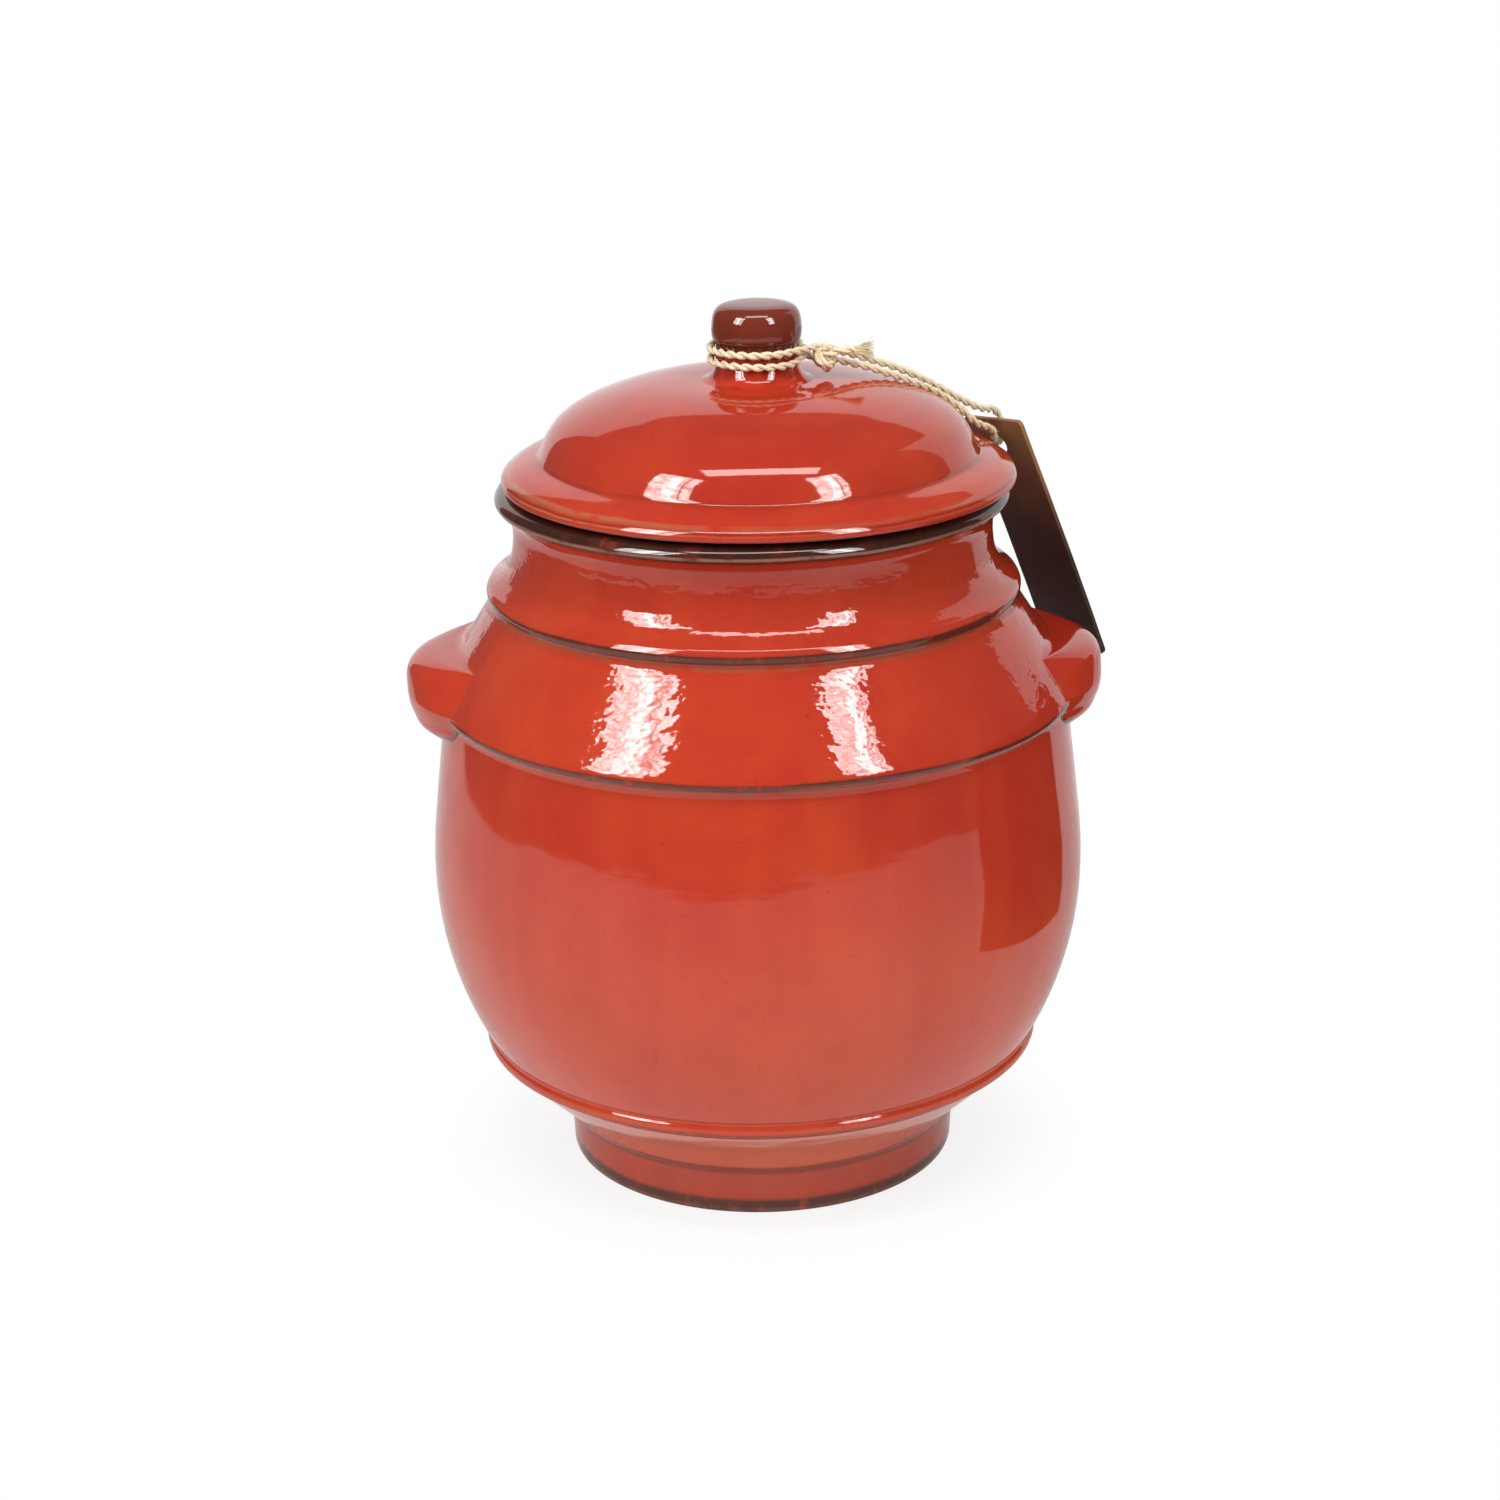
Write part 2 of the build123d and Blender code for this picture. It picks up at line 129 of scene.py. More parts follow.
class Finish:
    """A procedural material on Object coordinates."""

    def __init__(self, name):
        self.material = bpy.data.materials.new(name)
        self.material.use_nodes = True
        self.tree = self.material.node_tree
        self.shader = next(n for n in self.tree.nodes if n.type == "BSDF_PRINCIPLED")
        self.place = self.node("ShaderNodeTexCoord").outputs["Object"]
        parts = self.node("ShaderNodeSeparateXYZ", values={"Vector": self.place})
        self.x, self.y, self.z = (Level(self, s) for s in parts.outputs)

    def node(self, kind, settings=None, values=None):
        made = self.tree.nodes.new(kind)
        for key, value in (settings or {}).items():
            setattr(made, key, value)
        for key, value in (values or {}).items():
            self.put(made.inputs[key], value)
        return made

    def put(self, socket, value):
        if isinstance(value, Level):
            value = value.socket
        if isinstance(value, bpy.types.NodeSocket):
            self.tree.links.new(value, socket)
        else:
            socket.default_value = value

    def grain(self, scale, detail=3.0, rough=0.5, stretch=None, warp=0.0):
        """Noise about 0.5, at so many features to the metre."""
        place = self.place
        if stretch:
            place = self.node("ShaderNodeMapping", values={"Vector": place, "Scale": stretch}).outputs[0]
        made = self.node(
            "ShaderNodeTexNoise",
            {"noise_dimensions": "3D"},
            {"Vector": place, "Scale": scale, "Detail": detail, "Roughness": rough, "Distortion": warp},
        )
        return Level(self, made.outputs[0])

    def blend(self, share, first, second):
        made = self.node("ShaderNodeMix", {"data_type": "RGBA"}, {0: share, 6: first, 7: second})
        return made.outputs[2]

    def bump(self, height, distance, onto=None):
        values = {"Height": height, "Distance": distance, "Strength": 1.0}
        if onto is not None:
            values["Normal"] = onto
        return self.node("ShaderNodeBump", values=values).outputs[0]

    def set(self, **values):
        for name, value in values.items():
            self.put(self.shader.inputs[name.replace("_", " ")], value)


def rgb(red, green, blue):
    return (red, green, blue, 1.0)


# Heights of the glaze's unevenness: slow waves, marks of the hand, throwing rings and orange peel
WAVE, HAND_MARK, THROWING_RING, PEEL = 0.00035, 0.00042, 0.000022, 0.000012
# Painted light: the lower jar is coloured more orange, standing in for the white table's bounce light.
PAINTED_LOW_LIGHT = (0.128, 0.08)  # the glaze turns more orange from the first height down to the second


def glaze(name, red, orange, brown, bands=(), tints=(), edge=None, uneven=(), painted_reflection=None):
    """Thick gloss glaze that clouds and streaks.

    Bands and tints are rings in millimetres: middle, half width, soft edge and strength. Bands are darker
    rings, most of them painted shade in creases and under ridges, lips and the flange. Tints show their own
    colour, some on the left side only; the rim's dark tint is painted shadow. The painted reflection is one
    broad ring of a paler tone, standing in for the lit floor mirrored in the glaze. The edge darkens an ear's
    underside towards its lower edge, as painted shade.
    """
    f = Finish(name)
    wobble = (f.grain(22, 2) - 0.5) * 0.0014 + (f.grain(140, 2) - 0.5) * 0.0005
    height = f.z + wobble
    cloud = f.grain(11, 4, 0.6, warp=0.4)
    streak = f.grain(1, 3, 0.55, stretch=(60, 60, 8))
    mottle = f.grain(180, 3, 0.6)
    tone = cloud.rise(0.32, 0.72) * 0.6 + streak.rise(0.42, 0.72) * 0.3 + mottle * 0.2 - 0.15
    # painted light: more orange towards the bottom, for the table's bounce light
    tone = tone + f.z.rise(*PAINTED_LOW_LIGHT) * 0.45
    colour = f.blend(tone, red, orange)
    deep = f.grain(17, 5, 0.65).rise(0.52, 0.74) * 0.3 + f.grain(420, 2, 0.5).rise(0.6, 0.78) * 0.1
    colour = f.blend(deep, colour, rgb(red[0] * 0.7, red[1] * 0.6, red[2] * 0.6))
    band_breakup = f.grain(1, 3, 0.6, stretch=(150, 150, 60)).rise(0.16, 0.46)
    # dark rings, most of them painted shade, broken up by noise
    for middle, half, soft, strength in bands:
        ring = height.band(middle * MM, half * MM, soft * MM) * strength
        colour = f.blend(ring * band_breakup, colour, brown)
    left = (f.x * -1).rise(-0.03, 0.06)
    for middle, half, soft, strength, shade, one_side in tints:
        ring = height.band(middle * MM, half * MM, soft * MM) * strength
        if one_side:
            ring = ring * (left * 0.85 + 0.15)
        colour = f.blend(ring * f.grain(120, 2).rise(0.25, 0.5), colour, shade)
    # painted reflection: a paler ring standing in for the lit floor mirrored in the glaze
    if painted_reflection:
        middle, half, soft, strength, shade = painted_reflection
        ring = height.band(middle * MM, half * MM, soft * MM) * (tone * 0.3 + 0.7) * strength
        colour = f.blend(ring, colour, shade)
    # painted shade: an ear's underside darkens to brown towards its lower edge
    if edge:
        way_out = Level(f, f.node("ShaderNodeAttribute", {"attribute_name": "way_out"}).outputs["Fac"])
        colour = f.blend(way_out.rise(*edge) * 0.85, colour, brown)
    speck = f.grain(640, 1, 0.4).rise(0.74, 0.8) * 0.4
    colour = f.blend(speck, colour, brown)
    soft_wave = f.bump(f.grain(24, 2, 0.4), WAVE)
    for middle, half in uneven:
        hand = f.grain(1, 3, 0.6, stretch=(70, 70, 130)) * f.z.band(middle * MM, half * MM, 5 * MM)
        soft_wave = f.bump(hand, HAND_MARK, onto=soft_wave)
    rings = f.bump(f.grain(1, 2, 0.5, stretch=(5, 5, 170)), THROWING_RING, onto=soft_wave)
    peel = f.bump(f.grain(260, 2, 0.5), PEEL, onto=rings)
    f.set(Base_Color=colour, Roughness=f.grain(90, 3) * 0.05 + 0.03, Normal=peel, IOR=1.5)
    return f.material


RED = rgb(0.41, 0.028, 0.013)
ORANGE = rgb(0.51, 0.057, 0.018)
BROWN = rgb(0.070, 0.018, 0.010)
BARE = rgb(0.26, 0.10, 0.055)
OCHRE = rgb(0.37, 0.15, 0.065)
# The dark rim colour is painted shadow under the lid's flange; the worn rim colour is real wear.
PAINTED_RIM_SHADOW, WORN_RIM = rgb(0.030, 0.009, 0.006), rgb(0.26, 0.11, 0.065)
jar_glaze = glaze(
    "jar_glaze", RED, ORANGE, BROWN,
    # Dark rings: brown at the foot's bottom; painted shade at 9, 15.6 and 39 mm under the hip and in the
    # crease at the foot's top, at 154.4 and 187.2 mm under the shoulder ridge and the collar's lip, and at
    # 218 mm on the rim under the lid's flange; faintly darker at 170 and 203 mm.
    bands=[
        (0.0, 3.8, 2.0, 0.97), (9.0, 5.0, 3.0, 0.22), (15.6, 0.6, 1.6, 0.6), (39.0, 0.5, 0.9, 0.7),
        (154.4, 0.5, 0.8, 0.9), (187.2, 0.9, 0.8, 0.92), (218.0, 3.3, 0.8, 0.97), (203.0, 11.0, 8.0, 0.11),
        (170.0, 12.0, 6.0, 0.05),
    ],
    tints=[
        (152.6, 0.6, 1.1, 0.4, BARE, False), (184.9, 0.5, 1.2, 0.45, BARE, False),
        # painted shadow on the rim's top under the lid's flange, and a worn line at the rim's widest point
        (218.4, 1.7, 0.8, 0.85, PAINTED_RIM_SHADOW, False), (216.2, 0.2, 0.5, 0.8, WORN_RIM, False),
        (1.2, 0.3, 0.8, 0.4, BARE, False),
    ],
    # painted reflection of the lit floor on the hip's underside
    painted_reflection=(27.5, 9.0, 2.0, 0.9, rgb(0.58, 0.15, 0.09)),
    uneven=((171.0, 13.0), (200.0, 6.0)),
)
# the ear's underside gets painted shade towards its lower edge
ear_glaze = glaze("ear_glaze", RED, ORANGE, BROWN, edge=(0.78, 0.98))
lid_glaze = glaze(
    "lid_glaze", RED, ORANGE, BROWN,
    # Dark rings at 221 and 229.3 mm are painted shade, at the flange's lower edge over the gap and in the
    # crease at the dome's foot; those at 223.5 and 239 mm only darken the flange's corner and the dome a
    # little.
    bands=[(223.5, 0.15, 0.35, 0.5), (221.0, 0.5, 0.5, 0.5), (229.3, 0.2, 0.8, 0.3), (239.0, 7.0, 6.0, 0.1)],
    tints=[
        (225.0, 0.2, 0.45, 0.6, OCHRE, True), (222.9, 0.1, 0.3, 0.7, OCHRE, True),
        (224.5, 0.15, 0.3, 0.5, BARE, False),
    ],
)
knob_glaze = glaze(
    "knob_glaze", rgb(0.13, 0.020, 0.010), rgb(0.22, 0.034, 0.014), BROWN,
    bands=[(263.8, 0.6, 1.0, 0.6)],
    tints=[(252.5, 6.0, 5.0, 1.0, rgb(0.42, 0.030, 0.012), False)],
)


def jute(name):
    """Pale unbleached jute: dull, with light and dark fibres along the lay."""
    f = Finish(name)
    fibre = f.grain(2200, 3, 0.7)
    long_tone = f.grain(160, 2, 0.5)
    colour = f.blend(fibre.rise(0.25, 0.66), rgb(0.58, 0.44, 0.24), rgb(0.92, 0.81, 0.59))
    colour = f.blend(long_tone.rise(0.35, 0.7) * 0.5, colour, rgb(0.80, 0.66, 0.42))
    f.set(Base_Color=colour, Roughness=fibre * 0.2 + 0.75, Normal=f.bump(fibre, 0.0002))
    f.set(Sheen_Weight=0.25, Sheen_Roughness=0.5)
    return f.material


def tag_card(name, top_height, drop):
    """Dark brown board in painted light: lighter and warmer towards its punched end, darker further down in
    painted shade.
    """
    f = Finish(name)
    # painted light and shade: lighter near the top, darker down the tag's length
    painted_light_fade = ((top_height - f.z) / drop + (f.grain(60, 4, 0.6) - 0.5) * 0.35).rise(0.0, 0.55)
    colour = f.blend(painted_light_fade, rgb(0.27, 0.125, 0.045), rgb(0.032, 0.017, 0.010))
    fleck = f.grain(900, 4, 0.7)
    colour = f.blend(fleck.rise(0.5, 0.8) * 0.35, colour, rgb(0.16, 0.085, 0.04))
    grain = f.grain(1, 4, 0.6, stretch=(900, 900, 120))
    colour = f.blend(grain.rise(0.55, 0.75) * 0.3, colour, rgb(0.05, 0.025, 0.014))
    f.set(Base_Color=colour, Roughness=fleck * 0.2 + 0.42, Normal=f.bump(fleck + grain * 0.6, 0.00008))
    return f.material


jute_finish = jute("jute_finish")
card_finish = tag_card("card_finish", 0.2285, 0.078)


# Making pieces, those of the lid and tag square to the lid
BODY, LID_SET, TAG = "jar", "lid_set", "tag"


def piece(name, mesh, body, finish, smooth=True):
    made = bpy.data.objects.new(name, mesh)
    bpy.context.scene.collection.objects.link(made)
    mesh.materials.clear()
    mesh.materials.append(finish)
    if smooth:
        mesh.polygons.foreach_set("use_smooth", [True] * len(mesh.polygons))
    if body != BODY:
        mesh.transform(LID_TURN)
    mesh.update()
    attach(made, body)
    return made


def smooth_run(points, steps):
    """A smooth line through the points of one run of an outline, corners at its ends only."""
    line = []
    tangents = []
    for at, point in enumerate(points):
        before, after = points[max(at - 1, 0)], points[min(at + 1, len(points) - 1)]
        tangents.append((Vector(after) - Vector(before)).normalized())
    for (a, b), (ta, tb) in zip(zip(points, points[1:]), zip(tangents, tangents[1:])):
        a, b = Vector(a), Vector(b)
        reach = (b - a).length
        for step in range(steps):
            t = step / steps
            h1, h2 = 2 * t**3 - 3 * t**2 + 1, t**3 - 2 * t**2 + t
            h3, h4 = -2 * t**3 + 3 * t**2, t**3 - t**2
            line.append(a * h1 + ta * reach * h2 + b * h3 + tb * reach * h4)
    line.append(Vector(points[-1]))
    return line


def outline(runs):
    """Joins runs of an outline, each smooth in itself, into one list of places."""
    places = []
    for steps, points in runs:
        line = smooth_run(points, steps)
        places += line if not places else line[1:]
    return places


def throw(name, places, centre_x, steps, body, finish, wander=0.0):
    """Turns an outline about the wheel's axis and gives it the slight unevenness of hand throwing."""
    shape = bmesh.new()
    ring = [shape.verts.new(((centre_x + r) * MM, 0, z * MM)) for r, z in places]
    edges = [shape.edges.new(pair) for pair in zip(ring, ring[1:])]
    bmesh.ops.spin(
        shape, geom=ring + edges, cent=(centre_x * MM, 0, 0), axis=(0, 0, 1), angle=2 * math.pi, steps=steps,
        use_merge=True,
    )
    bmesh.ops.remove_doubles(shape, verts=shape.verts, dist=0.00001)
    bmesh.ops.recalc_face_normals(shape, faces=shape.faces)
    for vert in shape.verts:
        out = Vector((vert.co.x - centre_x * MM, vert.co.y, 0))
        if wander and out.length > 0.01:
            sway = noise.noise(Vector((vert.co.x * 9, vert.co.y * 9, vert.co.z * 14)))
            ripple = noise.noise(Vector((vert.co.x * 2, vert.co.y * 2, vert.co.z * 70)))
            vert.co -= out.normalized() * (wander * (0.6 + 0.5 * sway + 0.05 * ripple))
    mesh = bpy.data.meshes.new(name)
    shape.to_mesh(mesh)
    shape.free()
    return piece(name, mesh, body, finish)


def bulge(widest, level, bend, height):
    """Radius of a wall that is widest at a level and bends away from it by an arc."""
    return widest - bend + math.sqrt(bend**2 - (height - level) ** 2)


# The jar
low_belly = [(bulge(102.9, 98.0, 110.3, z), z) for z in (44.0, 51.0, 58.0, 66.0, 74.0, 82.0, 90.0)]
high_belly = [(102.9, 98.0), (102.75, 105.0), (102.25, 112.0), (101.5, 119.0), (100.7, 126.0), (99.88, 133.0),
              (99.03, 140.0), (98.3, 146.0), (97.7, 151.0)]
jar_outline = outline([
    (2, [(0, 0), (36.8, 0)]),
    (1, [(36.8, 0), (37.0, 2.9)]),
    (2, [(37.0, 2.9), (52.6, 2.9)]),
    (1, [(52.6, 2.9), (52.8, 0)]),
    (2, [(52.8, 0), (60.3, 0)]),
    (4, [(60.3, 0), (61.3, 0.4), (61.75, 1.5)]),
    (5, [(61.75, 1.5), (62.1, 8.0), (62.7, 14.6)]),
    (4, [(62.7, 14.6), (63.1, 15.6), (64.2, 16.9)]),
    (5, [(64.2, 16.9), (70.2, 22.9), (80.0, 32.1), (87.2, 38.6)]),
    (4, [(87.2, 38.6), (88.4, 39.2), (88.85, 40.3), (88.75, 41.7), (88.25, 42.7), (88.2, 43.6)]),
    (5, [(88.2, 43.6), *low_belly, *high_belly]),
    (4, [(97.7, 151.0), (97.9, 152.3), (98.7, 153.0), (99.6, 153.6), (99.95, 154.6), (99.7, 155.8),
         (99.1, 157.2)]),
    (8, [(99.1, 157.2), (81.5, 185.0)]),
    (4, [(81.5, 185.0), (81.8, 185.6), (82.5, 186.1), (82.9, 187.1), (82.9, 188.4), (82.1, 190.0)]),
    (5, [(82.1, 190.0), (79.4, 191.9), (76.8, 194.3), (75.3, 197.5), (74.5, 201.0), (74.15, 205.5),
         (74.4, 209.2), (75.6, 212.3), (77.6, 214.6)]),
    (4, [(77.6, 214.6), (78.9, 215.2), (79.4, 216.3), (79.1, 217.5), (78.2, 218.6), (76.6, 219.4),
         (75.0, 219.75)]),
    (2, [(75.0, 219.75), (74.0, 219.75)]),
    (4, [(74.0, 219.75), (72.4, 219.2), (70.4, 216.4), (68.4, 211.6), (67.6, 206.5), (68.6, 199.0),
         (74.9, 186.2)]),
    (3, [(74.9, 186.2), (91.4, 155.0)]),
    (4, [(91.4, 155.0), (92.4, 146.0), (95.4, 120.0), (96.4, 98.0), (93.0, 66.0), (82.4, 43.4)]),
    (3, [(82.4, 43.4), (54.0, 15.2)]),
    (4, [(54.0, 15.2), (50.0, 12.4), (45.0, 11.6)]),
    (3, [(45.0, 11.6), (0, 11.5)]),
])
jar = throw("jar_thrown", jar_outline, 0.0, 256, BODY, jar_glaze, wander=0.00016)
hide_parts("jar_body")

EAR_RADIUS, EAR_MIDDLE, EAR_RISE, EAR_DROP = 109.0, 156.7, 12.2, 14.2
EAR_HALF_ANGLE, EAR_TURN = 19.4, math.radians(6.6)
EAR_COLUMNS, EAR_LEVELS, EAR_REACH = 96, 72, 1.15
END_DEPTH, HAND_WANDER = 0.3, 0.4  # share of the drop that is left at an end, and the hand's unevenness
LIP, LIP_PLACE, LIP_WIDTH = 0.7, -0.72, 0.16
TOP_EDGE, TOP_EDGE_FALL = 1.3, 0.8
MELT, SINK = 0.8, 0.3  # how the edge runs out into the wall
BELLY_RADIUS, BELLY_LEVEL, BELLY_SLOPE = 99.03, 140.0, 0.121
RIDGE_RADIUS, RIDGE_LEVEL, RIDGE_SLOPE = 97.7, 151, 0.4
CONE_RADIUS, CONE_LEVEL, CONE_SLOPE = 99.1, 157.2, 0.633


def bare_wall(height):
    """Radius of the wall behind an ear, without its ridge."""
    if height < RIDGE_LEVEL:
        return BELLY_RADIUS - (height - BELLY_LEVEL) * BELLY_SLOPE
    ridge = RIDGE_RADIUS + (height - RIDGE_LEVEL) * RIDGE_SLOPE
    return min(ridge, CONE_RADIUS - (height - CONE_LEVEL) * CONE_SLOPE)


def ear(name, side):
    """A lug of clay pressed onto the shoulder: level top, round nose, ends that run out into the wall.

    A place on it is told by u, from end to end, and v, from its underside to its top, both -1 to 1 and a
    little beyond, where the skin dips into the wall.
    """
    shape = bmesh.new()
    way_out = shape.verts.layers.float.new("way_out")
    top = EAR_MIDDLE + EAR_RISE
    levels = [math.sin(math.pi / 2 * (2 * step / EAR_LEVELS - 1)) for step in range(EAR_LEVELS + 1)]
    levels = [-1.2, -1.1, -1.04] + levels + [1.03, 1.08, 1.15, 1.25]
    rows = []
    for v in levels:
        if abs(v) >= 1:
            full = (1 - abs(v)) * 3
        else:
            full = (1 - v**4.6) ** 0.4 if v > 0 else (1 - abs(v) ** 2.6) ** 0.8
        row = []
        for k in range(EAR_COLUMNS + 1):
            u = EAR_REACH * (2 * k / EAR_COLUMNS - 1)
            end = (1 - u * u) ** 1.08 if abs(u) < 1 else (1 - abs(u)) * 2
            drop = EAR_DROP * (END_DEPTH + (1 - END_DEPTH) * math.sqrt(max(1 - u * u, 0)))
            height = EAR_MIDDLE + v * (EAR_RISE if v > 0 else drop)
            wall = bare_wall(height)
            share = full * end if full > 0 and end > 0 else min(full, end)
            stand = (EAR_RADIUS - wall) * share
            stand += HAND_WANDER * noise.noise(Vector((u * 2.6, v * 1.6, side * 5.0))) * max(share, 0)
            stand += LIP * math.exp(-(((v - LIP_PLACE) / LIP_WIDTH) ** 2)) * max(end, 0)
            stand = (stand + math.sqrt(stand**2 + MELT)) / 2 - SINK
            if v > 0:
                stand += TOP_EDGE * math.exp(-abs(height - top) / TOP_EDGE_FALL) * max(min(end * 2, 1), 0)
            angle = math.radians(EAR_HALF_ANGLE * u) + EAR_TURN
            out = Vector((math.cos(angle), math.sin(angle), 0)) * (side * (wall + stand))
            vert = shape.verts.new((out + Vector((0, 0, height))) * MM)
            vert[way_out] = abs(v) if v < 0 else 0.0
            row.append(vert)
        rows.append(row)
    for lower, upper in zip(rows, rows[1:]):
        for k in range(EAR_COLUMNS):
            shape.faces.new((lower[k], lower[k + 1], upper[k + 1], upper[k]))
    bmesh.ops.recalc_face_normals(shape, faces=shape.faces)
    outward = sum((face.normal.x * face.calc_area() for face in shape.faces)) * side
    if outward < 0:
        bmesh.ops.reverse_faces(shape, faces=shape.faces)
    mesh = bpy.data.meshes.new(name)
    shape.to_mesh(mesh)
    shape.free()
    return piece(name, mesh, BODY, ear_glaze)


for name, node, side in (("ear_pressed_left", "left_ear", -1), ("ear_pressed_right", "right_ear", 1)):
    made = ear(name, side)
    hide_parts(node)

# The lid and its knob
lid_outline = outline([
    (3, [(0, 251.6), (17.0, 251.6)]),
    (5, [(17.0, 251.6), (24.0, 251.4), (32.0, 250.7), (41.0, 248.9), (50.0, 245.9), (55.0, 243.7),
         (58.8, 241.5), (61.6, 239.3), (63.5, 237.2), (65.1, 234.8), (66.4, 232.2), (67.4, 229.9)]),
    (4, [(67.4, 229.9), (68.1, 229.0), (69.8, 228.4)]),
    (3, [(69.8, 228.4), (74.0, 227.0), (77.0, 225.2)]),
    (4, [(77.0, 225.2), (78.4, 224.1), (79.05, 223.0), (79.25, 222.0), (79.0, 221.1), (78.0, 220.7)]),
    (3, [(78.0, 220.7), (73.0, 220.15), (65.3, 220.15)]),
    (3, [(65.3, 220.15), (65.05, 219.4), (65.0, 212.0), (64.5, 210.0), (62.9, 209.65)]),
    (3, [(62.9, 209.65), (61.3, 209.8), (60.6, 211.0), (60.5, 218.0), (61.6, 222.4)]),
    (4, [(61.6, 222.4), (61.6, 228.0), (57.2, 234.9), (44.5, 240.9), (27.8, 245.2), (12.0, 246.0),
         (0, 246.0)]),
])
lid = throw("lid_thrown", lid_outline, AXIS_X, 224, LID_SET, lid_glaze, wander=0.00012)
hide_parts("lid")

knob_outline = outline([
    (2, [(0, 251.3), (17.5, 251.5)]),
    (4, [(17.5, 251.5), (15.6, 252.1), (13.9, 253.6), (12.7, 256.6), (12.4, 259.0)]),
    (3, [(12.4, 259.0), (12.45, 262.6)]),
    (4, [(12.45, 262.6), (12.8, 263.5), (13.4, 264.2), (13.75, 266.7), (13.6, 269.6), (12.9, 272.2),
         (11.3, 273.9), (8.2, 274.7), (4.0, 274.93), (0, 275.0)]),
])
knob = throw("knob_thrown", knob_outline, AXIS_X, 96, LID_SET, knob_glaze)
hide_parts("lid_knob")

# The tag's place: it hangs outside the flange, behind the jar's right side
FLANGE, FLANGE_TOP, DOME, DOME_RISE = 79.3, 225.5, 68.8, 26.1
TAG_AZIMUTH, TAG_FACING, TAG_LEAN, TAG_ROLL = (math.radians(a) for a in (24.0, 35.0, 19.2, 7.4))
STRING = 2.6
PIVOT_REACH, PIVOT_SHIFT, PIVOT_BELOW = 86.3, 1.8, 3.0
pivot = Vector((math.cos(TAG_AZIMUTH), math.sin(TAG_AZIMUTH), 0)) * PIVOT_REACH
pivot += Vector((AXIS_X - PIVOT_SHIFT, 0, FLANGE_TOP - PIVOT_BELOW))
outward = Vector((math.cos(TAG_FACING), math.sin(TAG_FACING), 0)) * math.cos(TAG_LEAN)
outward.z = math.sin(TAG_LEAN)
level = Vector((math.sin(TAG_FACING), -math.cos(TAG_FACING), 0))
across = Quaternion(outward, -TAG_ROLL) @ level
down = outward.cross(across)
TAG_WIDTH, TAG_LENGTH, TAG_THICK, TAG_TOP, HOLE, HOLE_BELOW = 29.6, 84.3, 1.4, 7.9, 3.0, 1.3


# String: the loop's route is laid from the knot over the dome, through the tag and back
KNOB_NECK, NECK_ROOM = 12.5, 0.4
TURN_RADIUS = KNOB_NECK + NECK_ROOM + STRING / 2
UPPER_TURN, LOWER_TURN = 261.4, 257.9
knot_middle = Vector((AXIS_X + TURN_RADIUS * math.sqrt(2), 0, UPPER_TURN))
KNOT_HALF, KNOT_SAG, STRANDS_APART = 2.5, 2.7, 1.6
knot_side = knot_middle + Vector((KNOT_HALF, 0, -KNOT_SAG))
KNOT = TURN_RADIUS * math.sqrt(2) + KNOT_HALF


def over_lid(inner, outer, rows):
    """Places above the lid: shares of the way out, of the turn to the tag and of the dome's rise."""
    places = []
    for out, aside, up in rows:
        reach, turn = inner + (outer - inner) * out, TAG_AZIMUTH * aside
        height = FLANGE_TOP + DOME_RISE * up
        places.append(Vector((AXIS_X + reach * math.cos(turn), reach * math.sin(turn), height)))
    return places


loop_route = [
    knot_side - Vector((0, 0, STRANDS_APART)),
    *over_lid(KNOT, DOME, ((0.21, 0.35, 1.1), (0.512, 0.54, 0.88))),
    *over_lid(KNOT, DOME, ((0.769, 0.667, 0.67), (0.937, 0.68, 0.44))),
    *over_lid(DOME, FLANGE, ((0.245, 0.696, 0.222), (0.985, 0.831, 0.107))),
    pivot - outward * 2.8,
    pivot + outward * 2.8,
    pivot + outward * 2.8 - down * (TAG_TOP + 2.2),
    *over_lid(DOME, FLANGE, ((0.72, 0.9, 0.33), (-0.065, 0.84, 0.49))),
    *over_lid(KNOT, DOME, ((0.772, 0.78, 0.73), (0.509, 0.67, 0.98), (0.214, 0.46, 1.18))),
    knot_side + Vector((0, 0, STRANDS_APART)),
]


def centre_line(name, route):
    """The smooth line of a string: a NURBS spline with the route's points, read back as places."""
    data = bpy.data.curves.new(name, "CURVE")
    data.dimensions = "3D"
    data.resolution_u = 12
    spline = data.splines.new("NURBS")
    spline.points.add(len(route) - 1)
    for point, place in zip(spline.points, route):
        point.co = (*(place * MM), 1.0)
    spline.order_u = 3
    spline.use_endpoint_u = True
    holder = bpy.data.objects.new(name, data)
    mesh = bpy.data.meshes.new_from_object(holder)
    places = [vert.co.copy() for vert in mesh.vertices]
    bpy.data.objects.remove(holder)
    bpy.data.meshes.remove(mesh)
    return places


def evenly(places, step):
    """Places along a line, so far apart."""
    lengths = [0.0]
    for a, b in zip(places, places[1:]):
        lengths.append(lengths[-1] + (b - a).length)
    count = max(int(lengths[-1] / step), 2)
    line, at = [], 0
    for k in range(count + 1):
        want = lengths[-1] * k / count
        while at < len(lengths) - 2 and lengths[at + 1] < want:
            at += 1
        share = (want - lengths[at]) / max(lengths[at + 1] - lengths[at], 1e-12)
        line.append(places[at].lerp(places[at + 1], min(max(share, 0), 1)))
    return line


def turning_frame(line):
    """A side direction at each place that turns with the line and doesn't spin about it."""
    ways = [(b - a).normalized() for a, b in zip(line, line[1:])]
    ways.append(ways[-1])
    side = ways[0].orthogonal().normalized()
    sides = []
    for before, way in zip([ways[0]] + ways, ways):
        side = before.rotation_difference(way) @ side
        side = (side - way * side.dot(way)).normalized()
        sides.append(side)
    return ways, sides


